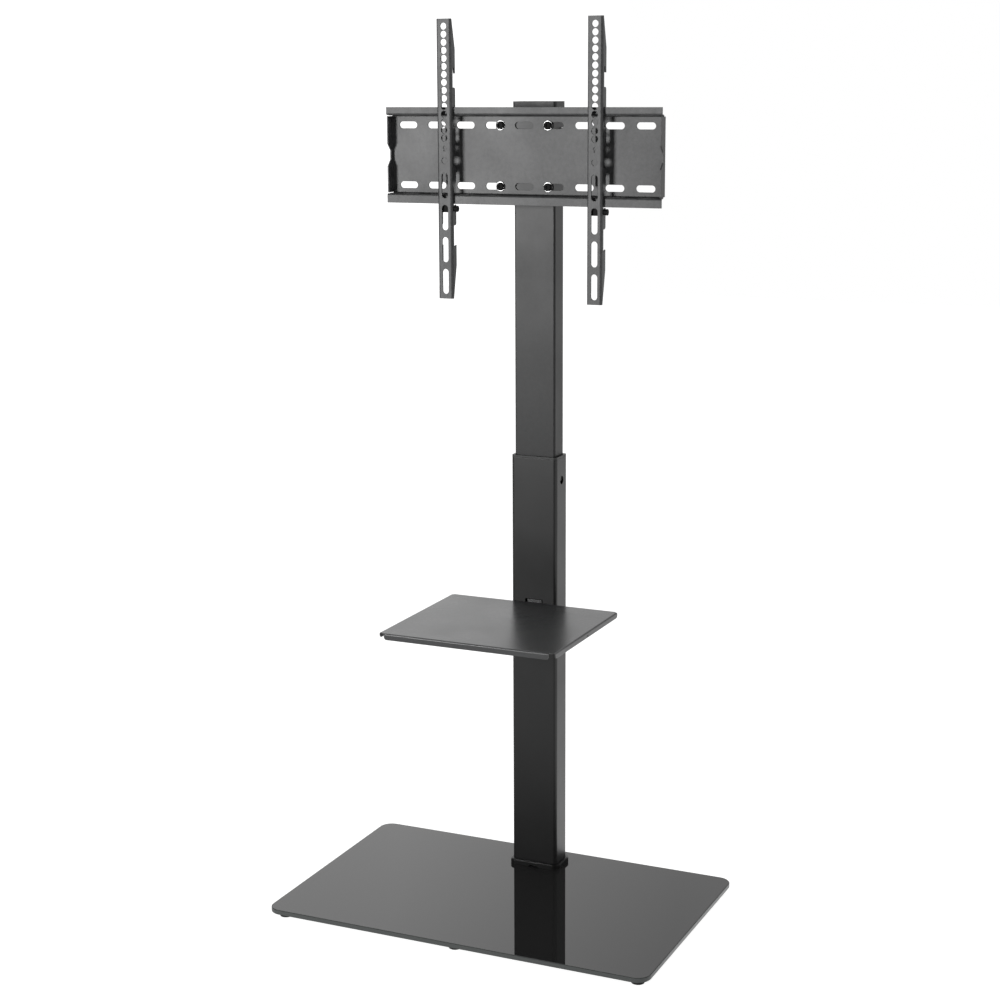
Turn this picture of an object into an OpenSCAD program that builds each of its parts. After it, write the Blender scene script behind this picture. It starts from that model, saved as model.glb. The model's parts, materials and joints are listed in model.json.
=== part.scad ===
// Floor stand for a flat screen: glass base, telescoping column, shelf and hook-on screen mount.
// X is the width, the screen side faces -Y, Z is up. The origin is on the floor under the base's centre.

/* [Glass base] */
// Width of the glass
base_w = 646; // [560:2:800]
// Depth of the glass, front to back
base_d = 412; // [360:2:520]
// Thickness of the glass
glass_t = 8; // [6:1:12]
// Radius of the glass's corners
glass_corner_r = 22; // [8:1:40]
// Ground bevel along the glass's edges
glass_bevel = 0.8; // [0.4:0.1:2]
// Diameter of a rubber foot
pad_d = 22; // [16:1:24]
// Height of a rubber foot
pad_h = 10; // [10:0.5:20]
// From the glass's side edge to the centre of a corner foot
pad_inset_x = 22; // [16:1:50]
// From the glass's front or back edge to the centre of a foot
pad_inset_y = 25; // [18:1:26]

/* [Lower column] */
// From the glass's back edge to the rear face of the column
column_back_gap = 35; // [34:0.5:70]
// Width of the lower tube
lower_w = 79; // [76:1:100]
// Depth of the lower tube
lower_d = 45; // [41:1:60]
// Wall of the lower tube
lower_wall = 2; // [1.5:0.1:2.5]
// Outer corner radius of the lower tube
lower_r = 5.5; // [3.5:0.5:7]
// Length of the lower tube with the liner's rim on it
lower_len = 700; // [480:1:800]
// Diameter of the hole in each side of the lower tube
side_hole_d = 13.5; // [8:0.5:14]
// From the lower tube's rim down to the side holes
side_hole_drop = 40; // [36:1:42]

/* [Upper column] */
// Width of the upper tube
upper_w = 70; // [60:1:72]
// Depth of the upper tube
upper_d = 35; // [30:1:38]
// Wall of the upper tube
upper_wall = 2; // [1.5:0.1:2.5]
// Outer corner radius of the upper tube
upper_r = 3; // [3:0.5:6]
// Length of the upper tube that stands out of the lower one
upper_show = 557.5; // [540:0.5:570]
// Length of the upper tube inside the lower one
upper_overlap = 122.5; // [122:0.5:127]
// How far the upper tube can rise from there
slide_up = 50; // [10:1:50]
// How far the upper tube can drop from there
slide_down = 100; // [10:1:100]

/* [Screen plate] */
// Width of the hook plate
plate_w = 462; // [440:2:520]
// Height of the hook plate over both lips
plate_h = 149; // [142:1:170]
// From the upper tube's top down to the plate's top edge
plate_drop = 5.5; // [4:0.5:30]
// Sheet thickness of the plate
plate_t = 2; // [1.5:0.1:2.4]
// Height of the upper hooking lip
lip_h = 11; // [10.5:0.5:14]
// Height of the lower hooking lip
low_lip_h = 13; // [10.5:0.5:14]
// From the lips' front down to the plate's front face
tray_d = 16; // [15.5:0.5:20]
// Free space between the plate and the upper tube
plate_stand_off = 37.5; // [32:0.5:60]
// Number of slots in a row
plate_slots = 9; // [5:2:9]
// Distance from slot to slot
plate_slot_pitch = 50; // [50:1:51]
// Length of a slot
plate_slot_l = 31; // [28:0.5:34]
// Width of a slot
plate_slot_w = 10.5; // [7:0.5:12]
// Distance between the two rows of slots
plate_row_gap = 93.5; // [86:0.5:96]

/* [Screen rails] */
// Length of a rail
rail_len = 431; // [428:1:440]
// Width of a rail
rail_w = 25; // [24:0.5:32]
// Depth of a rail at its hooks
rail_d = 15; // [14.5:0.1:15.5]
// Sheet thickness of a rail
rail_t = 2; // [1.5:0.1:2.4]
// Distance from the stand's middle to each rail as shown
rail_x = 126; // [60:1:190]
// Diameter of the round screen holes
rail_hole_d = 10.6; // [6:0.1:10.8]
// Number of round screen holes in the upper row
rail_holes = 15; // [10:1:15]
// Distance between the round holes
rail_hole_pitch = 12.1; // [12:0.1:12.2]
// Number of long slots below
rail_slots = 4; // [2:1:4]
// Distance between the long slots
rail_slot_pitch = 50; // [48:1:50]
// Length of a long slot
rail_slot_l = 39.5; // [30:0.5:42]
// Width of a long slot
rail_slot_w = 10.5; // [6:0.5:11]

/* [Shelf] */
// Width of the shelf
shelf_w = 296; // [240:2:400]
// Depth of the shelf
shelf_d = 264; // [220:2:320]
// From the lower tube's rim down to the shelf's top
shelf_drop = 243; // [236:0.5:420]
// Sheet thickness of the shelf
shelf_t = 1.5; // [1.2:0.1:2]
// Height of the turned-down side edges
shelf_lip_h = 8.5; // [7:0.5:14]
// Height of the turned-down front edge
shelf_front_h = 10; // [7:0.5:14]
// Height of the turned-down rear edge
shelf_rear_h = 13; // [9:0.5:20]

/* [Hidden] */
$fn = 64;

// Fits and cuts shared by many pieces
cut = 1;            // overrun of a cut past the face it opens
touch = 0.1;        // gap between faces that are pressed or glued together
run = 0.3;          // gap between faces that move past each other
thread_gap = 0.05;  // radial gap that stands for a screw's thread
bend_steps = 6;     // straight steps in a quarter bend of sheet metal

// Heights from the floor
glass_bottom = pad_h;
glass_top = glass_bottom + glass_t;
gasket_t = 1;
lower_bottom = glass_top + gasket_t;
lower_top = lower_bottom + lower_len;
upper_len = upper_show + upper_overlap;
upper_top = lower_top + upper_show;
upper_bottom = lower_top - upper_overlap;
plate_top = upper_top - plate_drop;
plate_z = plate_top - plate_h / 2;
plate_bottom = plate_top - plate_h;
shelf_top = lower_top - shelf_drop;

// Column
column_y = base_d / 2 - column_back_gap - lower_d / 2;
lower_front = column_y - lower_d / 2;
lower_rear = column_y + lower_d / 2;
upper_front = column_y - upper_d / 2;
upper_rear = column_y + upper_d / 2;
bore_w = lower_w - 2 * lower_wall;
bore_d = lower_d - 2 * lower_wall;
bore_r = lower_r - lower_wall;

// Base fixing: a steel foot in the tube, clamped through the glass from below
foot_t = 8;
base_bolt_r = 3.9;
base_bolt_x = 24;
base_bolt_y = 10;
base_head_r = 6.5;
base_head_h = 3.5;
base_washer_t = 1;
base_washer_r = 7.5;
glass_hole_r = 6;
pad_taper = 1;
clamp_t = 2.5;
clamp_past_x = 15.5;
clamp_inset_y = 2.5;
clamp_w = lower_w + 2 * clamp_past_x;
clamp_d = lower_d - 2 * clamp_inset_y;
clamp_corner_r = 6;
clamp_top = glass_bottom - gasket_t;
clamp_bottom = clamp_top - clamp_t;
base_bolt_top = lower_bottom + foot_t - touch;
drive_r = 2.6;
drive_depth = 2;

// Trim collar round the column's foot
collar_out = 5;
collar_h = 8.5;
collar_step = 1.2;
collar_notch_w = 20;
collar_notch_h = 3.5;
collar_notch_r = (pow(collar_notch_w / 2, 2) + pow(collar_notch_h, 2)) / (2 * collar_notch_h);

// Guide at the lower tube's mouth and glide at the upper tube's end
liner_rim_h = 3.5;
liner_rim_gap = 1.2;
liner_gap = 2;
liner_past_hole = 1.6;
glide_h = 20;
glide_end_t = 3;

// Height lock: two bolts through the rear wall pull a nut plate against the upper tube
lock_z = lower_top - side_hole_drop;
lock_x = 16;
lock_bolt_r = 3.95;
lock_hole_r = 4.25;
lock_head_r = 6.5;
lock_head_h = 5;
lock_washer_r = 8;
lock_washer_t = 1.5;
lock_slot_r = 4.5;
lock_slot_end = 1;
nut_plate_w = 54;
nut_plate_h = 24;
nut_plate_t = 5;
nut_plate_rear = upper_rear - upper_wall - run;
clamp_pad_t = lower_rear - lower_wall - upper_rear - run - touch;
liner_h = side_hole_drop + liner_past_hole;
upper_side_hole_d = 9;
upper_side_hole_drop = 5.5;
upper_side_hole_pitch = 50;

// Cap on the column's top
cap_wall = 2;
cap_top_t = 2.5;
cap_h = 16;

// Bracket that carries the hook plate
bracket_t = 3;
bracket_past_x = 10.4;
bracket_h = 118;
bracket_leg_past = 12;
bracket_nut_room = 2;
bracket_front = upper_front - plate_stand_off + touch;
bracket_bolt_r = 3.95;
bracket_hole_r = 4.25;
bracket_bolt_gap = 70;
bracket_head_r = 6.5;
bracket_head_h = 5;
bracket_washer_r = 8;
bracket_washer_t = 1.5;
bracket_nut_r = 7.5;
bracket_nut_h = 6.5;
bracket_leg_in = upper_w / 2 + touch;
bracket_leg_out = bracket_leg_in + bracket_t;
bracket_w = 2 * (bracket_leg_out + bracket_past_x);

// Hook plate: panel, two webs and two lips, and a notched flange at each end
panel_rear = upper_front - plate_stand_off;
panel_front = panel_rear - plate_t;
lip_front = panel_front - tray_d;
lip_rear = lip_front + plate_t;
web_out = plate_h / 2 - lip_h;
low_web_out = plate_h / 2 - low_lip_h;
plate_bend_r = 2;
flange_inset_x = 1;
flange_in_x = plate_w / 2 - flange_inset_x - plate_t;
flange_inset_z = 3;
flange_notch_top = 18;
flange_notch_bottom = 7.5;
flange_notch_d = 9.5;
plate_bolt_x = 40;
plate_bolt_r = 2.95;
plate_bolt_head_r = 6;
plate_bolt_head_h = 3.6;
plate_bolt_round = 0.8;
plate_washer_r = 7.3;
plate_washer_t = 1.2;
plate_washer_hole_r = 3.3;
plate_nut_r = 5.77;
plate_nut_h = 5;
plate_bolt_past = 2;

// Rails that are screwed to the screen and hook over the plate's lips
hook_play = 0.5;
notch_front = 6.5;
rail_front = lip_front - hook_play - notch_front;
rail_rear = rail_front + rail_d;
hook_drop = 133.5;
hook_pitch = 59.5;
upper_notch_h = 34;
notch_round = 4;
tooth_len = 8.8;
tooth_root = 4.4;
tooth_tip = 3.2;
lower_hook_pitch = 63;
lower_notch_h = 38;
lower_notch_past = 4.5;
lower_tooth_h = 3;
lower_tooth_tip = 0.5;
lower_valley = 4.5;
middle_notch_h = 41;
rail_top = plate_top + run + hook_drop;
rail_bend_r = 1.5;
rail_taper_top = 46;
rail_taper_bottom = 52;
rail_end_d = 4;
rail_hole_top = 11.5;
rail_arrow_drop = 197;
rail_arrow_h = 9;
rail_arrow_w = 6.4;
rail_arrow_stem = 2;
rail_single_drop = 216;
rail_single_d = 10;
rail_slot_drop = 254;

// Safety screw below the lower lip of each rail
safety_drop = 7.5;
safety_r = 2.45;
safety_hole_r = 2.75;
safety_head_r = 4.8;
safety_head_h = 3.8;
safety_neck_r = 4.3;
safety_neck_h = 2.2;
safety_block_h = 11;
safety_block_front = 4.4;
safety_block_rear = 5;
safety_end = 2;
safety_drive_r = 1.6;
safety_y = (lip_front + lip_rear) / 2;
safety_z = plate_bottom - safety_drop;

// Shelf and what holds it
shelf_bend_r = 2.5;
shelf_corner_r = 5;
shelf_lip_gap = 10;
shelf_side_gap = 3;
shelf_rear_gap = 5;
shelf_rear = lower_front - touch;
shelf_front = shelf_rear - shelf_d;
lip_end_r = 4.5;
side_hole_r = 1.6;
side_hole_from_rear = shelf_d / 2;
tongue_w = 25;
tongue_up = 4.2;
tongue_gap = 0.4;
column_slot_w = 31;
column_slot_up = 5.5;
column_slot_play = 0.5;
arm_w = 60;
arm_l = 140;
arm_drop = 70;
arm_t = 3;
stud_r = 2.45;
stud_len = 9;
stud_x = 18;
stud_first = 40;
stud_pitch = 75;
stud_hole_r = 2.8;
stud_nut_r = 4.6;
stud_nut_h = 4;
arm_screw_r = 2.95;
arm_screw_hole_r = 3.3;
arm_screw_head_r = 5.2;
arm_screw_head_h = 3.4;
arm_screw_top = 25;
arm_screw_gap = 30;
arm_nut_r = 5.77;
arm_nut_h = 5;
arm_rear = lower_front - touch;
arm_top = shelf_top - shelf_t - touch;

// Shared shapes

// Points of an arc about centre c, in even steps
function arc(c, r, from, to) =
    [for (i = [0:bend_steps]) let (a = from + (to - from) * i / bend_steps) c + r * [cos(a), sin(a)]];

// Rectangle with round corners, about the origin
module rounded_rect(w, d, r) {
    square([w - 2 * r, d], center = true);
    square([w, d - 2 * r], center = true);
    for (x = [-1, 1], y = [-1, 1])
        translate([x * (w / 2 - r), y * (d / 2 - r)]) circle(r);
}

// Round slot about the origin, its length along X
module slot_shape(l, w) {
    square([l - w, w], center = true);
    for (x = [-1, 1]) translate([x * (l - w) / 2, 0]) circle(w / 2);
}

// Extrusion that runs along X, its section drawn in Y and Z
module along_x(l) {
    rotate([90, 0, 90]) linear_extrude(l, center = true) children();
}

// Extrusion that runs towards -Y, its section drawn in X and Z
module along_y(l) {
    rotate([90, 0, 0]) linear_extrude(l) children();
}

// Rod along X between two places
module rod_x(from, to, r) {
    translate([from, 0, 0]) rotate([0, 90, 0]) cylinder(h = to - from, r = r);
}

// Rod along Y between two places
module rod_y(from, to, r) {
    translate([0, to, 0]) rotate([90, 0, 0]) cylinder(h = to - from, r = r);
}

// Six-sided prism along X or Y, for a nut or a socket
module hex_x(from, to, r) {
    translate([from, 0, 0]) rotate([0, 90, 0]) cylinder(h = to - from, r = r, $fn = 6);
}
module hex_y(from, to, r) {
    translate([0, to, 0]) rotate([90, 0, 0]) cylinder(h = to - from, r = r, $fn = 6);
}

// Places of the four base bolts and of the four plate bolts
module at_base_bolts() {
    for (x = [-1, 1], y = [-1, 1])
        translate([x * base_bolt_x, column_y + y * base_bolt_y, 0]) children();
}
module at_plate_bolts() {
    for (x = [-1, 1], z = [-1, 1])
        translate([x * plate_bolt_x, 0, plate_z + z * plate_row_gap / 2]) children();
}
module at_bracket_bolts() {
    for (z = [-1, 1]) translate([0, column_y, plate_z + z * bracket_bolt_gap / 2]) children();
}
module at_lock_bolts() {
    for (x = [-1, 1]) translate([x * lock_x, 0, lock_z]) children();
}
module at_shelf_studs() {
    for (x = [-1, 1], i = [0, 1])
        translate([x * stud_x, shelf_rear - stud_first - i * stud_pitch, 0]) children();
}
module at_arm_screws() {
    for (i = [0, 1]) translate([0, 0, shelf_top - arm_screw_top - i * arm_screw_gap]) children();
}

// Glass base

module base_glass() {
    color([0.03, 0.03, 0.035]) difference() {
        union() {
            translate([0, 0, glass_bottom]) linear_extrude(glass_t)
                rounded_rect(base_w - 2 * glass_bevel, base_d - 2 * glass_bevel,
                             glass_corner_r - glass_bevel);
            translate([0, 0, glass_bottom + glass_bevel]) linear_extrude(glass_t - 2 * glass_bevel)
                rounded_rect(base_w, base_d, glass_corner_r);
        }
        at_base_bolts() translate([0, 0, glass_bottom - cut])
            cylinder(h = glass_t + 2 * cut, r = glass_hole_r);
    }
}

module rubber_feet() {
    color([0.05, 0.05, 0.05])
        for (x = [-1, 0, 1], y = [-1, 1])
            translate([x * (base_w / 2 - pad_inset_x), y * (base_d / 2 - pad_inset_y), 0])
                cylinder(h = pad_h, r1 = pad_d / 2 - pad_taper, r2 = pad_d / 2);
}

// Base fixing

module clamp_sheet(t, hole_r) {
    linear_extrude(t) difference() {
        rounded_rect(clamp_w, clamp_d, clamp_corner_r);
        for (x = [-1, 1], y = [-1, 1]) translate([x * base_bolt_x, y * base_bolt_y]) circle(hole_r);
    }
}

module clamp_gasket() {
    color([0.1, 0.1, 0.1]) translate([0, column_y, clamp_top]) clamp_sheet(gasket_t, glass_hole_r);
}

module clamp_plate() {
    hole_r = base_bolt_r + run;
    color([0.12, 0.12, 0.12]) translate([0, column_y, clamp_bottom]) clamp_sheet(clamp_t, hole_r);
}

module foot_gasket() {
    color([0.1, 0.1, 0.1]) translate([0, column_y, glass_top]) linear_extrude(gasket_t)
        difference() {
            rounded_rect(lower_w, lower_d, lower_r);
            for (x = [-1, 1], y = [-1, 1])
                translate([x * base_bolt_x, y * base_bolt_y]) circle(glass_hole_r);
        }
}

module base_bolts() {
    head_top = clamp_bottom - base_washer_t;
    color([0.6, 0.6, 0.62]) at_base_bolts() difference() {
        union() {
            translate([0, 0, head_top - base_head_h]) cylinder(h = base_head_h, r = base_head_r);
            translate([0, 0, head_top]) cylinder(h = base_bolt_top - head_top, r = base_bolt_r);
        }
        translate([0, 0, head_top - base_head_h - cut])
            cylinder(h = drive_depth + cut, r = drive_r, $fn = 6);
    }
}

module base_washers() {
    color([0.7, 0.7, 0.72]) at_base_bolts() translate([0, 0, clamp_bottom - base_washer_t])
        difference() {
            cylinder(h = base_washer_t, r = base_washer_r);
            translate([0, 0, -cut]) cylinder(h = base_washer_t + 2 * cut, r = base_bolt_r + run);
        }
}

module column_foot() {
    color([0.2, 0.2, 0.21]) difference() {
        translate([0, column_y, lower_bottom]) linear_extrude(foot_t)
            rounded_rect(bore_w - 2 * touch, bore_d - 2 * touch, bore_r - touch);
        at_base_bolts() translate([0, 0, lower_bottom - cut])
            cylinder(h = foot_t + 2 * cut, r = base_bolt_r + thread_gap);
    }
}

module foot_collar() {
    w = lower_w + 2 * collar_out;
    d = lower_d + 2 * collar_out;
    r = lower_r + collar_out;
    color([0.06, 0.06, 0.065]) translate([0, column_y, glass_top]) difference() {
        union() {
            linear_extrude(collar_h - collar_step) rounded_rect(w, d, r);
            linear_extrude(collar_h)
                rounded_rect(w - 2 * collar_step, d - 2 * collar_step, r - collar_step);
        }
        translate([0, 0, -cut]) linear_extrude(collar_h + 2 * cut)
            rounded_rect(lower_w + 2 * touch, lower_d + 2 * touch, lower_r + touch);
        translate([0, 0, collar_notch_h - collar_notch_r])
            rod_y(-d / 2 - cut, -lower_d / 2, collar_notch_r);
    }
}

// Lower column

module lower_tube() {
    slot_bottom = shelf_top - shelf_t - column_slot_play;
    slot_top = shelf_top + column_slot_up;
    color([0.11, 0.11, 0.115]) difference() {
        translate([0, column_y, lower_bottom]) linear_extrude(lower_len - liner_rim_h) difference() {
            rounded_rect(lower_w, lower_d, lower_r);
            rounded_rect(bore_w, bore_d, bore_r);
        }
        translate([0, column_y, lock_z]) rod_x(-lower_w / 2 - cut, lower_w / 2 + cut, side_hole_d / 2);
        at_lock_bolts() rod_y(lower_rear - lower_wall - cut, lower_rear + cut, lock_hole_r);
        translate([-column_slot_w / 2, lower_front - cut, slot_bottom])
            cube([column_slot_w, lower_wall + 2 * cut, slot_top - slot_bottom]);
        at_arm_screws() rod_y(lower_front - cut, lower_front + lower_wall + cut, arm_screw_hole_r);
    }
}

// Liner with a rim on the tube's end. It reaches the side holes, and its rear wall is cut away
// round the clamp pad.
module guide_liner() {
    gap_w = nut_plate_w + 2 * liner_gap;
    rim_w = upper_w + 2 * liner_rim_gap;
    rim_d = upper_d + 2 * liner_rim_gap;
    color([0.04, 0.04, 0.04]) difference() {
        translate([0, column_y, lower_top - liner_h]) {
            linear_extrude(liner_h)
                rounded_rect(bore_w - 2 * touch, bore_d - 2 * touch, bore_r - touch);
            translate([0, 0, liner_h - liner_rim_h + touch]) linear_extrude(liner_rim_h - touch)
                rounded_rect(lower_w, lower_d, lower_r);
        }
        translate([0, column_y, lower_top - liner_h - cut]) linear_extrude(liner_h + 2 * cut)
            rounded_rect(upper_w + 2 * run, upper_d + 2 * run, upper_r + run);
        translate([0, column_y, lower_top - liner_rim_h + touch]) linear_extrude(liner_rim_h)
            rounded_rect(rim_w, rim_d, upper_r + liner_rim_gap);
        translate([-gap_w / 2, upper_rear - cut, lock_z - nut_plate_h])
            cube([gap_w, lower_rear - upper_rear + cut, 3 * nut_plate_h / 2 + liner_gap]);
    }
}

// Height lock

module clamp_pad() {
    color([0.04, 0.04, 0.04]) difference() {
        translate([-nut_plate_w / 2, upper_rear + run, lock_z - nut_plate_h / 2])
            cube([nut_plate_w, clamp_pad_t, nut_plate_h]);
        at_lock_bolts() rod_y(upper_rear, lower_rear, lock_hole_r);
    }
}

module nut_plate() {
    color([0.6, 0.6, 0.62]) difference() {
        translate([-nut_plate_w / 2, nut_plate_rear - nut_plate_t, lock_z - nut_plate_h / 2])
            cube([nut_plate_w, nut_plate_t, nut_plate_h]);
        at_lock_bolts()
            rod_y(nut_plate_rear - nut_plate_t - cut, nut_plate_rear + cut, lock_bolt_r + thread_gap);
    }
}

module lock_washers() {
    color([0.7, 0.7, 0.72]) at_lock_bolts() difference() {
        rod_y(lower_rear, lower_rear + lock_washer_t, lock_washer_r);
        rod_y(lower_rear - cut, lower_rear + lock_washer_t + cut, lock_hole_r);
    }
}

module lock_bolt(side) {
    seat = lower_rear + lock_washer_t + run;
    color([0.15, 0.15, 0.16]) translate([side * lock_x, 0, lock_z]) difference() {
        union() {
            rod_y(nut_plate_rear - nut_plate_t, seat, lock_bolt_r);
            rod_y(seat, seat + lock_head_h, lock_head_r);
        }
        hex_y(seat + lock_head_h - drive_depth, seat + lock_head_h + cut, drive_r);
    }
}

module left_lock_bolt() { lock_bolt(-1); }
module right_lock_bolt() { lock_bolt(1); }

// Upper column

module upper_tube() {
    slot_l = slide_up + slide_down + 2 * (lock_slot_r + lock_slot_end);
    slot_z = lock_z + (slide_down - slide_up) / 2;
    color([0.13, 0.13, 0.135]) difference() {
        translate([0, column_y, upper_bottom]) linear_extrude(upper_len) difference() {
            rounded_rect(upper_w, upper_d, upper_r);
            rounded_rect(upper_w - 2 * upper_wall, upper_d - 2 * upper_wall, upper_r - upper_wall);
        }
        for (x = [-1, 1])
            translate([x * lock_x, upper_rear + cut, slot_z])
                along_y(upper_wall + 2 * cut) rotate(90) slot_shape(slot_l, 2 * lock_slot_r);
        for (i = [0, 1])
            translate([0, column_y, lock_z - upper_side_hole_drop - i * upper_side_hole_pitch])
                rod_x(-upper_w / 2 - cut, upper_w / 2 + cut, upper_side_hole_d / 2);
        at_bracket_bolts() rod_x(-upper_w / 2 - cut, upper_w / 2 + cut, bracket_hole_r);
    }
}

module tube_glide() {
    w = bore_w - 2 * run;
    d = bore_d - 2 * run;
    r = bore_r - run;
    color([0.04, 0.04, 0.04]) translate([0, column_y, upper_bottom - glide_end_t - touch])
        difference() {
            linear_extrude(glide_h + glide_end_t) rounded_rect(w, d, r);
            translate([0, 0, glide_end_t]) linear_extrude(glide_h + cut)
                rounded_rect(upper_w + 2 * touch, upper_d + 2 * touch, upper_r + touch);
        }
}

module top_cap() {
    w = upper_w + 2 * cap_wall;
    d = upper_d + 2 * cap_wall;
    r = upper_r + cap_wall;
    color([0.09, 0.09, 0.095]) translate([0, column_y, upper_top + touch + cap_top_t - cap_h])
        difference() {
            linear_extrude(cap_h) rounded_rect(w, d, r);
            translate([0, 0, -cut]) linear_extrude(cap_h - cap_top_t + cut)
                rounded_rect(upper_w + 2 * touch, upper_d + 2 * touch, upper_r + touch);
        }
}

// Bracket on the column's head

// Front plate with two legs, whose front corners are cut away behind the plate's nuts
module head_bracket() {
    leg_d = upper_front + bracket_leg_past + upper_d / 2 - bracket_front;
    corner_z = plate_row_gap / 2 - plate_nut_r - bracket_nut_room;
    corner_d = plate_nut_h + plate_bolt_past + bracket_nut_room;
    color([0.12, 0.12, 0.12]) difference() {
        translate([0, 0, plate_z - bracket_h / 2]) linear_extrude(bracket_h) {
            translate([-bracket_w / 2, bracket_front]) square([bracket_w, bracket_t]);
            for (x = [-bracket_leg_out, bracket_leg_in])
                translate([x, bracket_front]) square([bracket_t, leg_d]);
        }
        at_plate_bolts() rod_y(bracket_front - cut, bracket_front + bracket_t + cut,
                               plate_washer_hole_r);
        at_bracket_bolts() rod_x(-bracket_leg_out - cut, bracket_leg_out + cut, bracket_hole_r);
        for (side = [0, 1]) translate([0, 0, plate_z]) mirror([0, 0, side])
            translate([-bracket_w / 2, bracket_front + bracket_t, corner_z])
                cube([bracket_w, corner_d, bracket_h / 2 - corner_z + cut]);
    }
}

module bracket_bolts() {
    seat = bracket_leg_out + bracket_washer_t;
    color([0.6, 0.6, 0.62]) at_bracket_bolts() difference() {
        union() {
            rod_x(-seat - bracket_nut_h, seat, bracket_bolt_r);
            rod_x(seat, seat + bracket_head_h, bracket_head_r);
        }
        hex_x(seat + bracket_head_h - drive_depth, seat + bracket_head_h + cut, drive_r);
    }
}

module bracket_washers() {
    color([0.7, 0.7, 0.72]) at_bracket_bolts() for (side = [0, 1]) mirror([side, 0, 0])
        difference() {
            rod_x(bracket_leg_out, bracket_leg_out + bracket_washer_t, bracket_washer_r);
            rod_x(bracket_leg_out - cut, bracket_leg_out + bracket_washer_t + cut, bracket_hole_r);
        }
}

module bracket_nuts() {
    seat = bracket_leg_out + bracket_washer_t;
    color([0.6, 0.6, 0.62]) at_bracket_bolts() difference() {
        hex_x(-seat - bracket_nut_h, -seat, bracket_nut_r);
        rod_x(-seat - bracket_nut_h - cut, -seat + cut, bracket_bolt_r + thread_gap);
    }
}

// Hook plate

// Section of the plate in Y and Z, about the plate's middle height
module plate_section() {
    upper_front_side = front_side(web_out);
    upper_rear_side = rear_side(web_out);
    n = len(upper_front_side);
    polygon(concat(upper_front_side, mirrored_back(front_side(low_web_out)),
                   [for (p = rear_side(low_web_out)) [p[0], -p[1]]],
                   [for (i = [n - 1:-1:0]) upper_rear_side[i]]));
}

// Points from a lip's tip to the panel, along the plate's front and along its rear
function front_side(web) =
    let (r_in = plate_bend_r, r_out = plate_bend_r + plate_t)
    concat([[lip_front, plate_h / 2]],
           arc([lip_front + r_out, web - plate_t + r_out], r_out, 180, 270),
           arc([panel_front - r_in, web - plate_t - r_in], r_in, 90, 0));
function rear_side(web) =
    let (r_in = plate_bend_r, r_out = plate_bend_r + plate_t)
    concat([[lip_rear, plate_h / 2]],
           arc([lip_rear + r_in, web + r_in], r_in, 180, 270),
           arc([panel_rear - r_out, web - r_out], r_out, 90, 0));

// The same points upside down and in the opposite order
function mirrored_back(points) =
    [for (i = [len(points) - 1:-1:0]) [points[i][0], -points[i][1]]];

// Flange across one end of the plate, with a notch in its front edge
module end_flange() {
    notch = lip_front + flange_notch_d;
    top = web_out - flange_inset_z;
    bottom = low_web_out - flange_inset_z;
    along_x(plate_t)
        polygon([[panel_rear, top], [lip_front, top], [lip_front, flange_notch_top],
                 [notch, flange_notch_bottom], [notch, -flange_notch_bottom],
                 [lip_front, -flange_notch_top], [lip_front, -bottom], [panel_rear, -bottom]]);
}

module wall_plate() {
    color([0.14, 0.14, 0.145]) difference() {
        translate([0, 0, plate_z]) {
            along_x(2 * flange_in_x) plate_section();
            for (x = [-1, 1]) translate([x * (plate_w / 2 - plate_w / 4), 0, 0])
                along_x(plate_w / 2) difference() {
                    plate_section();
                    translate([lip_rear, -low_web_out])
                        square([cut + tray_d + plate_t, web_out + low_web_out]);
                }
        }
        for (i = [0:plate_slots - 1], z = [-1, 1])
            translate([(i - (plate_slots - 1) / 2) * plate_slot_pitch, panel_rear + cut,
                       plate_z + z * plate_row_gap / 2])
                along_y(plate_t + 2 * cut) slot_shape(plate_slot_l, plate_slot_w);
    }
}

module plate_ends() {
    color([0.14, 0.14, 0.145])
        for (x = [-1, 1]) translate([x * (flange_in_x + plate_t / 2), 0, plate_z]) end_flange();
}

module plate_bolts() {
    seat = panel_front - plate_washer_t;
    end = bracket_front + bracket_t + plate_nut_h + plate_bolt_past;
    color([0.1, 0.1, 0.1]) at_plate_bolts() difference() {
        union() {
            rod_y(seat, end, plate_bolt_r);
            rod_y(seat - plate_bolt_head_h + plate_bolt_round, seat, plate_bolt_head_r);
            rod_y(seat - plate_bolt_head_h, seat, plate_bolt_head_r - plate_bolt_round);
        }
        hex_y(seat - plate_bolt_head_h - cut, seat - plate_bolt_head_h + drive_depth, drive_r);
    }
}

module plate_washers() {
    color([0.75, 0.75, 0.76]) at_plate_bolts() difference() {
        rod_y(panel_front - plate_washer_t, panel_front, plate_washer_r);
        rod_y(panel_front - plate_washer_t - cut, panel_front + cut, plate_washer_hole_r);
    }
}

module plate_nuts() {
    seat = bracket_front + bracket_t;
    color([0.6, 0.6, 0.62]) at_plate_bolts() difference() {
        hex_y(seat, seat + plate_nut_h, plate_nut_r);
        rod_y(seat - cut, seat + plate_nut_h + cut, plate_bolt_r + thread_gap);
    }
}

// Rails

// Section of a rail in X and Y, open at the back
module rail_section() {
    r_in = rail_bend_r;
    r_out = rail_bend_r + rail_t;
    out = rail_w / 2;
    inside = out - rail_t;
    polygon(concat([[-out, rail_rear + cut]],
                   arc([-out + r_out, rail_front + r_out], r_out, 180, 270),
                   arc([out - r_out, rail_front + r_out], r_out, 270, 360),
                   [[out, rail_rear + cut], [inside, rail_rear + cut]],
                   arc([inside - r_in, rail_front + rail_t + r_in], r_in, 0, -90),
                   arc([-inside + r_in, rail_front + rail_t + r_in], r_in, -90, -180),
                   [[-inside, rail_rear + cut]]));
}

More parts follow.
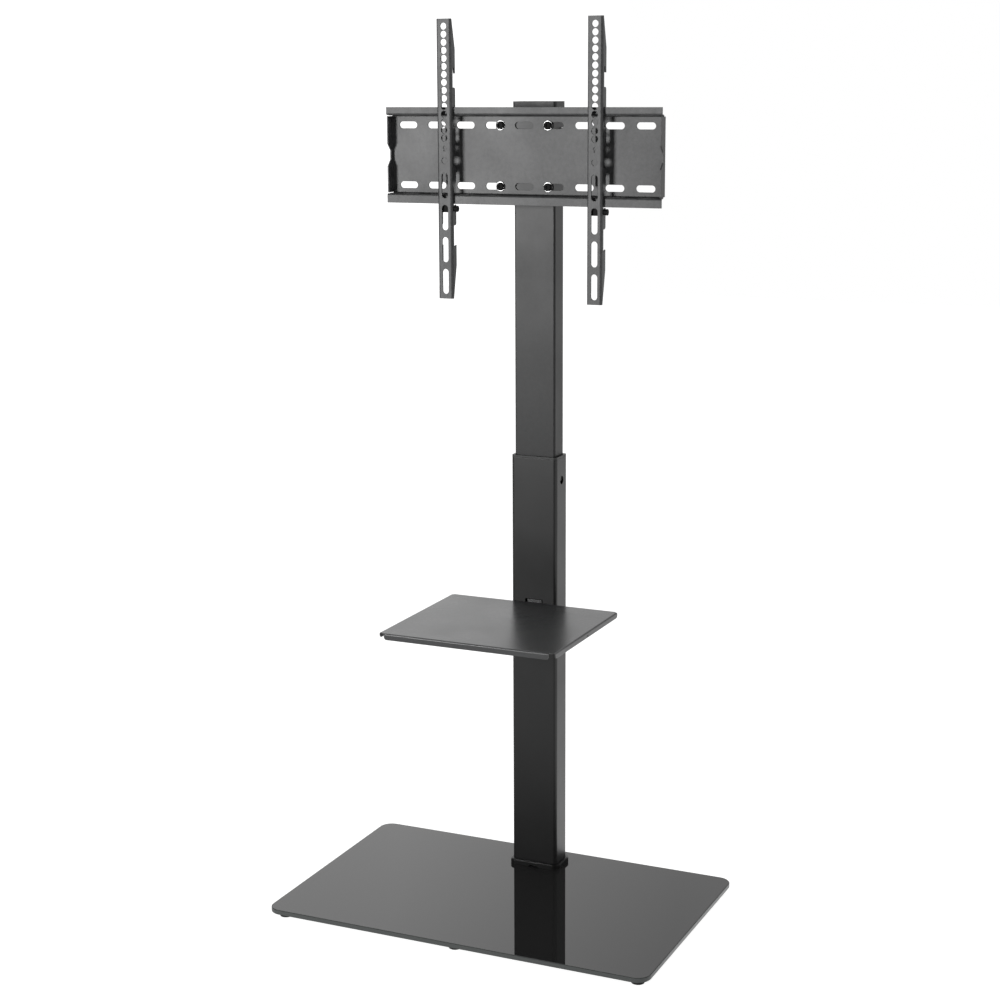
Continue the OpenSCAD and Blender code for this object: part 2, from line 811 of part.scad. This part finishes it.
// Hook notch in Y and Z: its top rests on a lip and a tooth reaches down behind it
module upper_notch(top) {
    front = rail_front + notch_front;
    bottom = top - upper_notch_h;
    polygon(concat([[front, top], [rail_rear - tooth_root, top],
                    [rail_rear - tooth_tip, top - tooth_len], [rail_rear + cut, top - tooth_len],
                    [rail_rear + cut, bottom]],
                   arc([rail_rear - notch_round, bottom], notch_round, 0, 90),
                   [[front, bottom + notch_round]]));
}

// Notch in Y and Z that clears the lower lip, with a valley and a low tooth at its foot
module lower_notch(bottom) {
    front = rail_front + notch_front;
    foot = bottom + lower_tooth_h;
    top = bottom + lower_notch_h;
    polygon(concat([[front, foot], [front + lower_valley, bottom],
                    [rail_rear - lower_tooth_tip, foot], [rail_rear + cut, foot],
                    [rail_rear + cut, top]],
                   arc([rail_rear - notch_round, top], notch_round, 0, -90),
                   [[front, top - notch_round]]));
}

// Notch in Y and Z between the two hooks
module middle_notch() {
    front = rail_front + notch_front;
    top = plate_z + middle_notch_h / 2;
    bottom = plate_z - middle_notch_h / 2;
    polygon(concat([[rail_rear + cut, bottom], [rail_rear + cut, top]],
                   arc([rail_rear - notch_round, top], notch_round, 0, -90),
                   [[front, top - notch_round], [front, bottom + notch_round]],
                   arc([rail_rear - notch_round, bottom], notch_round, 90, 0)));
}

// Outline of a rail's side in Y and Z
module rail_side() {
    bottom = rail_top - rail_len;
    lower_start = plate_bottom - lower_notch_past;
    difference() {
        polygon([[rail_front, bottom], [rail_front + rail_end_d, bottom],
                 [rail_rear, bottom + rail_taper_bottom], [rail_rear, rail_top - rail_taper_top],
                 [rail_front + rail_end_d, rail_top], [rail_front, rail_top]]);
        for (i = [0, 1]) {
            upper_notch(plate_top + run + i * hook_pitch);
            lower_notch(lower_start - i * lower_hook_pitch);
        }
        middle_notch();
    }
}

// Arrow that points up, its length along Y
module arrow_shape() {
    polygon([[-rail_arrow_stem / 2, -rail_arrow_h / 2], [rail_arrow_stem / 2, -rail_arrow_h / 2],
             [rail_arrow_stem / 2, 0], [rail_arrow_w / 2, 0], [0, rail_arrow_h / 2],
             [-rail_arrow_w / 2, 0], [-rail_arrow_stem / 2, 0]]);
}

module rail(x) {
    color([0.14, 0.14, 0.145]) translate([x, 0, 0]) difference() {
        intersection() {
            translate([0, 0, rail_top - rail_len]) linear_extrude(rail_len) rail_section();
            along_x(rail_w + 2 * cut) rail_side();
        }
        for (i = [0:rail_holes - 1])
            translate([0, 0, rail_top - rail_hole_top - i * rail_hole_pitch])
                rod_y(rail_front - cut, rail_front + rail_t + cut, rail_hole_d / 2);
        translate([0, 0, rail_top - rail_single_drop])
            rod_y(rail_front - cut, rail_front + rail_t + cut, rail_single_d / 2);
        translate([0, rail_front + rail_t + cut, rail_top - rail_arrow_drop])
            along_y(rail_t + 2 * cut) arrow_shape();
        for (i = [0:rail_slots - 1])
            translate([0, rail_front + rail_t + cut, rail_top - rail_slot_drop - i * rail_slot_pitch])
                along_y(rail_t + 2 * cut) rotate(90) slot_shape(rail_slot_l, rail_slot_w);
        translate([0, safety_y, safety_z])
            rod_x(rail_w / 2 - rail_t - cut, rail_w / 2 + cut, safety_hole_r);
    }
}

module left_rail() { rail(-rail_x); }
module right_rail() { rail(rail_x); }

module safety_screw(x) {
    seat = rail_w / 2 + run;
    end = seat + safety_neck_h + safety_head_h;
    color([0.12, 0.12, 0.12]) translate([x, safety_y, safety_z]) difference() {
        union() {
            rod_x(rail_t + safety_end - rail_w / 2, seat, safety_r);
            rod_x(seat, seat + safety_neck_h, safety_neck_r);
            rod_x(seat + safety_neck_h, end, safety_head_r);
        }
        hex_x(end - drive_depth, end + cut, safety_drive_r);
    }
}

module left_safety_screw() { safety_screw(-rail_x); }
module right_safety_screw() { safety_screw(rail_x); }

// Threaded block that fills the rail's channel
module safety_nut(x) {
    half = rail_w / 2 - rail_t - touch;
    color([0.1, 0.1, 0.1]) translate([x, safety_y, safety_z]) difference() {
        translate([-half, -safety_block_front, -safety_block_h / 2])
            cube([2 * half, safety_block_front + safety_block_rear, safety_block_h]);
        rod_x(-half - cut, half + cut, safety_r + thread_gap);
    }
}

module left_safety_nut() { safety_nut(-rail_x); }
module right_safety_nut() { safety_nut(rail_x); }

// Shelf

// Turned-down edge in section: the bend starts at the origin and the edge hangs at +X
module lip_section(h) {
    r = shelf_bend_r;
    polygon(concat([[0, 0]], arc([0, -r], r, 90, 0), [[r, -h], [r - shelf_t, -h]],
                   arc([0, -r], r - shelf_t, 0, 90)));
}

// Turned-down edge of a given length, centred, that hangs past +X
module shelf_lip(l, h) {
    intersection() {
        rotate([90, 0, 0]) linear_extrude(l, center = true) lip_section(h);
        rotate([90, 0, 90]) linear_extrude(2 * shelf_bend_r, center = true) {
            translate([-l / 2, -h + lip_end_r]) square([l, h]);
            translate([-l / 2 + lip_end_r, -h]) square([l - 2 * lip_end_r, h]);
            for (x = [-1, 1]) translate([x * (l / 2 - lip_end_r), -h + lip_end_r]) circle(lip_end_r);
        }
    }
}

module shelf() {
    mid_y = (shelf_front + shelf_rear) / 2;
    flat_w = shelf_w - 2 * shelf_bend_r;
    flat_d = shelf_d - 2 * shelf_bend_r;
    tongue_rear = lower_front + lower_wall + tongue_gap + shelf_t;
    rear_lip_l = shelf_w / 2 - shelf_rear_gap - arm_w / 2 - shelf_side_gap;
    color([0.12, 0.12, 0.125]) translate([0, 0, shelf_top]) {
        difference() {
            union() {
                translate([0, mid_y, -shelf_t]) linear_extrude(shelf_t)
                    rounded_rect(flat_w, flat_d, shelf_corner_r);
                for (side = [0, 1]) mirror([side, 0, 0])
                    translate([flat_w / 2, mid_y, 0])
                        shelf_lip(shelf_d - 2 * shelf_corner_r, shelf_lip_h);
                translate([0, mid_y - flat_d / 2, 0]) rotate(-90)
                    shelf_lip(shelf_w - 2 * shelf_lip_gap, shelf_front_h);
                for (side = [-1, 1])
                    translate([side * (arm_w / 2 + shelf_side_gap + rear_lip_l / 2),
                               mid_y + flat_d / 2, 0])
                        rotate(90) shelf_lip(rear_lip_l, shelf_rear_h);
            }
            translate([0, shelf_rear - side_hole_from_rear, -shelf_lip_h / 2 - side_hole_r])
                rod_x(-shelf_w / 2 - cut, shelf_w / 2 + cut, side_hole_r);
        }
        translate([-arm_w / 2, shelf_rear - shelf_corner_r, -shelf_t])
            cube([arm_w, shelf_corner_r, shelf_t]);
        translate([-tongue_w / 2, shelf_rear - shelf_corner_r, -shelf_t])
            cube([tongue_w, tongue_rear - shelf_rear + shelf_corner_r, shelf_t]);
        translate([-tongue_w / 2, tongue_rear - shelf_t, -shelf_t])
            cube([tongue_w, shelf_t, shelf_t + tongue_up]);
        at_shelf_studs() translate([0, 0, -shelf_t - stud_len])
            cylinder(h = stud_len + shelf_t / 2, r = stud_r);
    }
}

module shelf_bracket() {
    side = [[arm_rear, arm_top], [arm_rear, arm_top - arm_drop],
            [arm_rear - arm_t, arm_top - arm_drop], [arm_rear - arm_l, arm_top - arm_t],
            [arm_rear - arm_l, arm_top]];
    color([0.12, 0.12, 0.12]) difference() {
        union() {
            translate([-arm_w / 2, arm_rear - arm_l, arm_top - arm_t]) cube([arm_w, arm_l, arm_t]);
            translate([-arm_w / 2, arm_rear - arm_t, arm_top - arm_drop])
                cube([arm_w, arm_t, arm_drop]);
            for (x = [-1, 1])
                translate([x * (arm_w - arm_t) / 2, 0, 0]) along_x(arm_t) polygon(side);
        }
        at_shelf_studs() translate([0, 0, arm_top - arm_t - cut])
            cylinder(h = arm_t + 2 * cut, r = stud_hole_r);
        at_arm_screws() rod_y(arm_rear - arm_t - cut, arm_rear + cut, arm_screw_hole_r);
    }
}

module shelf_nuts() {
    seat = arm_top - arm_t;
    color([0.6, 0.6, 0.62]) at_shelf_studs() translate([0, 0, seat - stud_nut_h]) difference() {
        cylinder(h = stud_nut_h, r = stud_nut_r, $fn = 6);
        translate([0, 0, -cut]) cylinder(h = stud_nut_h + 2 * cut, r = stud_r + thread_gap);
    }
}

module bracket_screws() {
    seat = arm_rear - arm_t;
    end = lower_front + lower_wall + arm_nut_h;
    color([0.15, 0.15, 0.16]) at_arm_screws() difference() {
        union() {
            rod_y(seat, end, arm_screw_r);
            rod_y(seat - arm_screw_head_h, seat, arm_screw_head_r);
        }
        hex_y(seat - arm_screw_head_h - cut, seat - arm_screw_head_h + drive_depth, drive_r);
    }
}

module column_nuts() {
    seat = lower_front + lower_wall;
    color([0.6, 0.6, 0.62]) at_arm_screws() difference() {
        hex_y(seat, seat + arm_nut_h, arm_nut_r);
        rod_y(seat - cut, seat + arm_nut_h + cut, arm_screw_r + thread_gap);
    }
}

base_glass();
rubber_feet();
clamp_plate();
clamp_gasket();
foot_gasket();
base_bolts();
base_washers();
column_foot();
foot_collar();
lower_tube();
guide_liner();
clamp_pad();
nut_plate();
lock_washers();
left_lock_bolt();
right_lock_bolt();
upper_tube();
tube_glide();
top_cap();
head_bracket();
bracket_bolts();
bracket_washers();
bracket_nuts();
wall_plate();
plate_ends();
plate_bolts();
plate_washers();
plate_nuts();
left_rail();
right_rail();
left_safety_screw();
right_safety_screw();
left_safety_nut();
right_safety_nut();
shelf();
shelf_bracket();
shelf_nuts();
bracket_screws();
column_nuts();
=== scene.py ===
# Looks of the television floor stand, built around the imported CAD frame
import json
import math

import bpy
from mathutils import Matrix, Vector

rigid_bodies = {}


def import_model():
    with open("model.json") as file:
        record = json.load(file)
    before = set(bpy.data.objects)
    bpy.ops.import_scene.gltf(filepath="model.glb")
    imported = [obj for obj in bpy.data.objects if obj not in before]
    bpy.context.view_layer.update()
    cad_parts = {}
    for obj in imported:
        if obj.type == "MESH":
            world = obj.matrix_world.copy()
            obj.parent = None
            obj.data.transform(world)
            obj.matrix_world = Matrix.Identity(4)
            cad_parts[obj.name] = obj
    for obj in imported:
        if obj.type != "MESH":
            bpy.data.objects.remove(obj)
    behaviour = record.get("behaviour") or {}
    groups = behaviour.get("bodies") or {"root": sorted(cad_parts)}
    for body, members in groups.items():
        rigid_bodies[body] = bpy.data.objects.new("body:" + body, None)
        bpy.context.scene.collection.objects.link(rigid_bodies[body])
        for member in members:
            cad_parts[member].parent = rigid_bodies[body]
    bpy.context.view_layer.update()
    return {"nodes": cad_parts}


for left_over in list(bpy.data.objects):
    bpy.data.objects.remove(left_over)

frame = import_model()
nodes = frame["nodes"]
scene = bpy.context.scene

MM = 0.001
WHITE = (1.0, 1.0, 1.0)
COOL = (0.985, 1.0, 1.02)
GREENISH = (0.93, 1.0, 0.98)
FULL_SPAN = (0.0, 1.0)
# Most values of a noise texture lie in this span
NOISE_SPAN = (0.3, 0.7)


# Node trees

class Graph:
    """Adds nodes to a tree, one call each. A socket's value is a number, a colour or a socket."""

    def __init__(self, tree):
        self.tree = tree
        tree.nodes.clear()

    def __call__(self, kind, sockets=None, out=0, **settings):
        made = self.tree.nodes.new(kind)
        for key, value in settings.items():
            setattr(made, key, value)
        for key, value in (sockets or {}).items():
            if isinstance(value, bpy.types.NodeSocket):
                self.tree.links.new(value, made.inputs[key])
            else:
                made.inputs[key].default_value = value
        return made.outputs[out] if made.outputs else None

    def math(self, operation, a, b=0.0):
        return self("ShaderNodeMath", {0: a, 1: b}, operation=operation)

    def remap(self, value, span, levels, shape="LINEAR"):
        """The first level up to the span, the second past it, and a ramp between them."""
        return self("ShaderNodeMapRange",
                    {"Value": value, "From Min": span[0], "From Max": span[1],
                     "To Min": levels[0], "To Max": levels[1]},
                    interpolation_type=shape)

    def noise(self, where, size, detail, roughness):
        """Noise whose patches are about size metres wide."""
        return self("ShaderNodeTexNoise",
                    {"Vector": where, "Scale": 1 / size, "Detail": detail, "Roughness": roughness})

    def blend(self, factor, a, b):
        return self("ShaderNodeMix", {0: factor, 6: a, 7: b}, out=2, data_type="RGBA")

    def bump(self, height, distance, strength, normal=None):
        sockets = {"Height": height, "Distance": distance, "Strength": strength}
        if normal is not None:
            sockets["Normal"] = normal
        return self("ShaderNodeBump", sockets)

    def part(self, vector, axis):
        return self("ShaderNodeSeparateXYZ", {0: vector}, out=axis)

    def ray(self, kind):
        return self("ShaderNodeLightPath", out=kind)


def rgb(value, tint=WHITE):
    return (value * tint[0], value * tint[1], value * tint[2], 1.0)


def around(middle, spread):
    return (middle - spread, middle + spread)


def new_material(name):
    material = bpy.data.materials.new(name)
    material.use_nodes = True
    return material, Graph(material.node_tree)


def new_surface(name):
    """A material, its graph, and the place on the object that its textures follow."""
    material, g = new_material(name)
    return material, g, g("ShaderNodeTexCoord", out="Object")


def edge_mask(g, radius):
    """The normal rounded over edges of that radius, and a mask that is 1 on those edges."""
    edge_cosines = (0.86, 0.995)
    rounded = g("ShaderNodeBevel", {"Radius": radius}, samples=6)
    flat = g("ShaderNodeNewGeometry", out="Normal")
    same = g("ShaderNodeVectorMath", {0: rounded, 1: flat}, out="Value", operation="DOT_PRODUCT")
    return rounded, g.remap(same, edge_cosines, (1.0, 0.0))


def finish_material(g, **sockets):
    shader = g("ShaderNodeBsdfPrincipled", sockets)
    g("ShaderNodeOutputMaterial", {"Surface": shader})


# Materials

def powder_coat(name, value, rough, grain=1.1 * MM, bump=0.05 * MM, mottle=0.16, edge=0.5 * MM,
                highlight_strength=0.35, ior=1.5):
    """Fine textured powder coat: grain, soft mottling, and a highlight painted along its edges.

    value is its plain colour and mottle the share by which that varies. grain is the width of
    its texture, bump the height, edge the radius of its edges, and the argument after it how
    strong the highlight painted on those edges is.
    """
    patch = 90 * MM
    fine_share, middle_share = 0.55, 0.45
    # The colour of the highlight painted on the edges
    edge_highlight_value = value * 2.2 + 0.03
    rough_change = 0.03

    material, g, where = new_surface(name)
    fine = g.noise(where, grain, detail=2.0, roughness=0.6)
    middle = g.noise(where, 6 * grain, detail=3.0, roughness=0.55)
    broad = g.noise(where, patch, detail=3.0, roughness=0.5)
    rounded, edges = edge_mask(g, edge)

    tone = g.math("ADD", g.math("MULTIPLY", fine, fine_share),
                  g.math("MULTIPLY", middle, middle_share))
    tone = g.remap(tone, NOISE_SPAN, FULL_SPAN)
    darker, lighter = around(1, mottle)
    color = g.blend(tone, rgb(value * darker, COOL), rgb(value * lighter, COOL))
    # A painted highlight on the edges, stronger in some stretches than in others
    edge_highlight = g.math("MULTIPLY", edges, g.remap(middle, (0.35, 0.65), (0.2 * highlight_strength, highlight_strength)))
    color = g.blend(edge_highlight, color, rgb(edge_highlight_value, COOL))
    roughness = g.math("ADD", g.remap(broad, NOISE_SPAN, around(rough, rough_change)),
                       g.remap(fine, NOISE_SPAN, around(0.0, rough_change)))
    normal = g.bump(fine, bump, strength=1.0, normal=rounded)
    finish_material(g, **{"Base Color": color, "Roughness": roughness, "IOR": ior,
                          "Normal": normal})
    return material


def black_glass(name):
    """Back-painted tempered glass: a clear gloss top and ground, satin edges."""
    clear_value, ground_value = 0.019, 0.075
    clear_rough, satin_rough = (0.0, 0.035), (0.28, 0.42)
    # How level a face is: below the span it is a ground edge, past it the clear top
    level_span = (0.55, 0.98)

    material, g, where = new_surface(name)
    facing = g.part(g("ShaderNodeNewGeometry", out="True Normal"), "Z")
    ground = g.remap(g.math("ABSOLUTE", facing), level_span, (1.0, 0.0))
    smear = g.noise(where, 60 * MM, detail=4.0, roughness=0.6)
    grit = g.noise(where, 0.7 * MM, detail=2.0, roughness=0.6)
    wave = g.noise(where, 220 * MM, detail=1.0, roughness=0.4)

    color = g.blend(ground, rgb(clear_value), rgb(ground_value, GREENISH))
    clear = g.remap(smear, (0.35, 0.75), clear_rough)
    satin = g.remap(grit, NOISE_SPAN, satin_rough)
    roughness = g("ShaderNodeMix", {0: ground, 2: clear, 3: satin}, data_type="FLOAT")
    waves = g.bump(wave, 0.03 * MM, strength=0.5)
    finish_material(g, **{"Base Color": color, "Roughness": roughness, "IOR": 1.52,
                          "Normal": waves})
    return material


def rubber(name):
    """Black rubber with a little dust and paler, rounded edges."""
    value, dusty_value, edge_value = 0.012, 0.035, 0.05
    dust_share, edge_share = 0.6, 0.4

    material, g, where = new_surface(name)
    fine = g.noise(where, 0.5 * MM, detail=3.0, roughness=0.6)
    dust = g.noise(where, 9 * MM, detail=4.0, roughness=0.65)
    rounded, edges = edge_mask(g, 0.8 * MM)

    dusty = g.remap(dust, (0.45, 0.8), (0.0, dust_share))
    color = g.blend(dusty, rgb(value), rgb(dusty_value))
    color = g.blend(g.math("MULTIPLY", edges, edge_share), color, rgb(edge_value))
    roughness = g.remap(dust, NOISE_SPAN, (0.68, 0.85))
    normal = g.bump(fine, 0.06 * MM, strength=0.8, normal=rounded)
    finish_material(g, **{"Base Color": color, "Roughness": roughness, "IOR": 1.45,
                          "Normal": normal})
    return material


def moulded_plastic(name, value, rough):
    """Moulded plastic: fine grain, soft patches, and smoother edges that a painted highlight makes
    paler.
    """
    edge_share, edge_value, edge_smoother = 0.35, value * 2 + 0.02, -0.08

    material, g, where = new_surface(name)
    fine = g.noise(where, 0.7 * MM, detail=3.0, roughness=0.6)
    broad = g.noise(where, 25 * MM, detail=3.0, roughness=0.5)
    rounded, edges = edge_mask(g, 0.6 * MM)

    patches = g.remap(broad, NOISE_SPAN, FULL_SPAN)
    color = g.blend(patches, rgb(value * 0.85), rgb(value * 1.15))
    # Edges painted paler: a painted highlight
    color = g.blend(g.math("MULTIPLY", edges, edge_share), color, rgb(edge_value))
    roughness = g.math("ADD", g.remap(broad, NOISE_SPAN, around(rough, 0.04)),
                       g.math("MULTIPLY", edges, edge_smoother))
    normal = g.bump(fine, 0.03 * MM, strength=0.7, normal=rounded)
    finish_material(g, **{"Base Color": color, "Roughness": roughness, "IOR": 1.46,
                          "Normal": normal})
    return material


def metal(name, value, rough):
    """Plated or blackened steel with fine turning marks and rims painted brighter as a highlight.
    """
    rim_highlight_share, rim_highlight_value = 0.35, value * 1.6 + 0.08

    material, g, where = new_surface(name)
    spangle = g.noise(where, 2.5 * MM, detail=3.0, roughness=0.6)
    fine = g.noise(where, 0.25 * MM, detail=3.0, roughness=0.7)
    rounded, edges = edge_mask(g, 0.35 * MM)

    spangles = g.remap(spangle, NOISE_SPAN, FULL_SPAN)
    color = g.blend(spangles, rgb(value * 0.82), rgb(value * 1.12))
    # Rims painted brighter: a painted highlight
    color = g.blend(g.math("MULTIPLY", edges, rim_highlight_share), color, rgb(rim_highlight_value))
    roughness = g.math("ADD", g.remap(spangle, NOISE_SPAN, (rough - 0.05, rough + 0.07)),
                       g.remap(fine, NOISE_SPAN, (-0.03, 0.05)))
    normal = g.bump(fine, 0.012 * MM, strength=0.6, normal=rounded)
    finish_material(g, **{"Base Color": color, "Metallic": 1.0, "Roughness": roughness,
                          "Normal": normal})
    return material


plate_coat = powder_coat("plate_powder_coat", 0.045, 0.46, mottle=0.5, bump=0.1 * MM)
upper_coat = powder_coat("upper_tube_coat", 0.012, 0.43, mottle=0.4, ior=1.44)
# The lower tube's top rim gets a strong painted highlight along its edges
lower_coat = powder_coat("lower_tube_coat", 0.006, 0.38, grain=0.9 * MM, bump=0.025 * MM,
                         edge=1.0 * MM, highlight_strength=0.7)
shelf_coat = powder_coat("shelf_satin_coat", 0.055, 0.29, grain=0.8 * MM, bump=0.012 * MM,
                         mottle=0.1, edge=1.0 * MM)
hidden_coat = powder_coat("bracket_powder_coat", 0.030, 0.48)
glass = black_glass("black_tempered_glass")
foot_rubber = rubber("foot_rubber")
collar_plastic = moulded_plastic("collar_plastic", 0.006, 0.34)
cap_plastic = moulded_plastic("cap_plastic", 0.027, 0.5)
inner_plastic = moulded_plastic("inner_plastic", 0.022, 0.42)
zinc = metal("zinc_plated_steel", 0.5, 0.36)
dark_steel = metal("blackened_steel", 0.05, 0.45)
washer_steel = metal("washer_steel", 0.34, 0.30)
# Black oxide is duller than plated steel, so it takes the coat's shader, with its painted edge
# highlight
black_oxide = powder_coat("black_oxide_steel", 0.004, 0.7, grain=0.5 * MM, bump=0.01 * MM,
                          edge=0.4 * MM, highlight_strength=0.5, ior=1.3)

looks = {
    plate_coat: ["wall_plate", "plate_ends", "left_rail", "right_rail"],
    upper_coat: ["upper_tube"],
    lower_coat: ["lower_tube"],
    shelf_coat: ["shelf"],
    hidden_coat: ["head_bracket", "shelf_bracket", "clamp_plate", "column_foot"],
    glass: ["base_glass"],
    foot_rubber: ["rubber_feet", "clamp_gasket", "foot_gasket"],
    collar_plastic: ["foot_collar"],
    cap_plastic: ["top_cap"],
    inner_plastic: ["guide_liner", "clamp_pad", "tube_glide"],
    zinc: ["base_bolts", "base_washers", "nut_plate", "lock_washers", "shelf_nuts",
           "column_nuts", "bracket_washers", "bracket_nuts", "plate_nuts"],
    washer_steel: ["plate_washers"],
    dark_steel: ["bracket_bolts", "bracket_screws", "left_lock_bolt", "right_lock_bolt"],
    black_oxide: ["plate_bolts", "left_safety_screw", "right_safety_screw", "left_safety_nut",
                  "right_safety_nut"],
}
for material, names in looks.items():
    for name in names:
        for slot in nodes[name].material_slots:
            slot.material = material


# Floor and light

def make_floor():
    """A pale floor that the camera sees as white, and that keeps the stand's shadow.

    Mirrors see it graded along a slanted line to the rear: it steps up behind the stand, fades
    again past that, and is almost dark far in front.
    """
    half = 9.0
    slant = 0.8
    seen_level, matte_value = 0.87, 0.5
    step, step_levels = (0.05, 0.22), (0.66, 1.4)
    rear, rear_drops = (0.45, 1.8), (0.0, 0.38)
    front, front_shares = (-4.2, -1.8), (0.05, 1.0)

    corners = [(-half, -half, 0), (half, -half, 0), (half, half, 0), (-half, half, 0)]
    mesh = bpy.data.meshes.new("floor")
    mesh.from_pydata(corners, [], [(0, 1, 2, 3)])
    floor = bpy.data.objects.new("floor", mesh)
    scene.collection.objects.link(floor)

    material, g = new_material("pale_floor")
    seen = g.math("MULTIPLY", g.ray("Is Camera Ray"), seen_level)
    light = g("ShaderNodeEmission", {"Color": rgb(1.0), "Strength": seen})
    matte = g("ShaderNodeBsdfDiffuse", {"Color": rgb(matte_value)})
    both = g("ShaderNodeAddShader", {0: light, 1: matte})

    place = g("ShaderNodeNewGeometry", out="Position")
    back = g.math("ADD", g.part(place, "Y"), g.math("MULTIPLY", g.part(place, "X"), slant))
    level = g.math("SUBTRACT", g.remap(back, step, step_levels), g.remap(back, rear, rear_drops))
    level = g.math("MULTIPLY", level, g.remap(back, front, front_shares))
    mirrored = g("ShaderNodeEmission", {"Color": rgb(1.0), "Strength": level})
    in_mirror = g.math("MAXIMUM", g.ray("Is Glossy Ray"), g.ray("Is Transmission Ray"))
    surface = g("ShaderNodeMixShader", {0: in_mirror, 1: both, 2: mirrored})
    g("ShaderNodeOutputMaterial", {"Surface": surface})
    mesh.materials.append(material)


def make_world():
    """White for the camera, a graded studio for mirrors, and a fill from the right.

    Each span is of one part of a direction: X is to the right, Y to the rear and Z up.
    """
    room_level = 0.05
    rear_edge, rear_side, rear_levels = (-0.1, 0.35), (-0.43, -0.30), (1.26, 0.81)
    right_edge, right_side, right_levels = (-0.75, -0.45), (0.2, 0.7), (0.0, 0.85)
    dark_edge, dark_side, dark_shares = (0.1, 0.4), (-0.1, 0.2), (0.0, 0.8)
    fill_side, fill_levels = (0.1, 0.9), (0.05, 1.3)

    world = bpy.data.worlds.new("studio")
    world.use_nodes = True
    scene.world = world
    g = Graph(world.node_tree)
    toward = g("ShaderNodeTexCoord", out="Generated")
    right, rear, up = [g.part(toward, axis) for axis in "XYZ"]

    rear_wall = g.math("MULTIPLY", g.remap(rear, rear_edge, FULL_SPAN, "SMOOTHSTEP"),
                       g.remap(right, rear_side, rear_levels))
    right_wall = g.math("MULTIPLY", g.remap(rear, right_edge, right_levels, "SMOOTHSTEP"),
                        g.remap(right, right_side, FULL_SPAN))
    dark_corner = g.math("MULTIPLY", g.remap(up, dark_edge, dark_shares, "SMOOTHSTEP"),
                         g.remap(right, dark_side, FULL_SPAN))
    studio = g.math("MULTIPLY", g.math("MAXIMUM", rear_wall, right_wall),
                    g.math("SUBTRACT", 1.0, dark_corner))
    fill = g.math("MULTIPLY", g.ray("Is Diffuse Ray"),
                  g.remap(right, fill_side, fill_levels, "SMOOTHSTEP"))
    studio = g.math("MAXIMUM", studio, g.math("MAXIMUM", fill, room_level))
    level = g.math("MAXIMUM", studio, g.ray("Is Camera Ray"))
    shade = g("ShaderNodeBackground", {"Color": rgb(1.0), "Strength": level})
    g("ShaderNodeOutputWorld", {"Surface": shade})


def soft_box(name, place, target, size, power):
    """A square lamp. It lights what a mirror shows by a small share of its strength only."""
    mirrored_share = 0.05
    lamp = bpy.data.lights.new(name, "AREA")
    lamp.shape = "SQUARE"
    lamp.size = size
    lamp.energy = power
    lamp.use_nodes = True
    g = Graph(lamp.node_tree)
    direct = g.math("LESS_THAN", g.ray("Glossy Depth"), 0.5)
    strength = g.math("MAXIMUM", direct, mirrored_share)
    g("ShaderNodeOutputLight",
      {"Surface": g("ShaderNodeEmission", {"Color": rgb(1.0), "Strength": strength})})
    thing = bpy.data.objects.new(name, lamp)
    scene.collection.objects.link(thing)
    thing.location = place
    thing.rotation_euler = (Vector(target) - Vector(place)).to_track_quat("-Z", "Y").to_euler()


def make_key():
    """The one lamp, level with the mount, to the left of the stand's front."""
    turn = math.radians(29)
    away, height = 3.4, 1.25
    column_y = 0.09
    soft_box("key", (-away * math.sin(turn), -away * math.cos(turn), height),
             (0, column_y, height), size=0.8, power=90)


def make_camera():
    """The photograph's camera, solved from the straight edges that it shows."""
    place = (1.25172, -2.74820, 1.30782)
    yaw, down, roll = 0.428141, 0.207660, 0.005233

    camera = bpy.data.cameras.new("camera")
    camera.sensor_fit = "HORIZONTAL"
    camera.sensor_width = 36
    camera.lens = 71.313
    camera.clip_start, camera.clip_end = 0.05, 100
    thing = bpy.data.objects.new("camera", camera)
    scene.collection.objects.link(thing)
    thing.matrix_world = (Matrix.Translation(place)
                          @ Matrix.Rotation(yaw, 4, "Z") @ Matrix.Rotation(-down, 4, "X")
                          @ Matrix.Rotation(roll, 4, "Y")
                          @ Matrix.Rotation(math.radians(90), 4, "X"))
    scene.camera = thing


make_floor()
make_world()
make_key()
make_camera()
scene.view_settings.view_transform = "Standard"
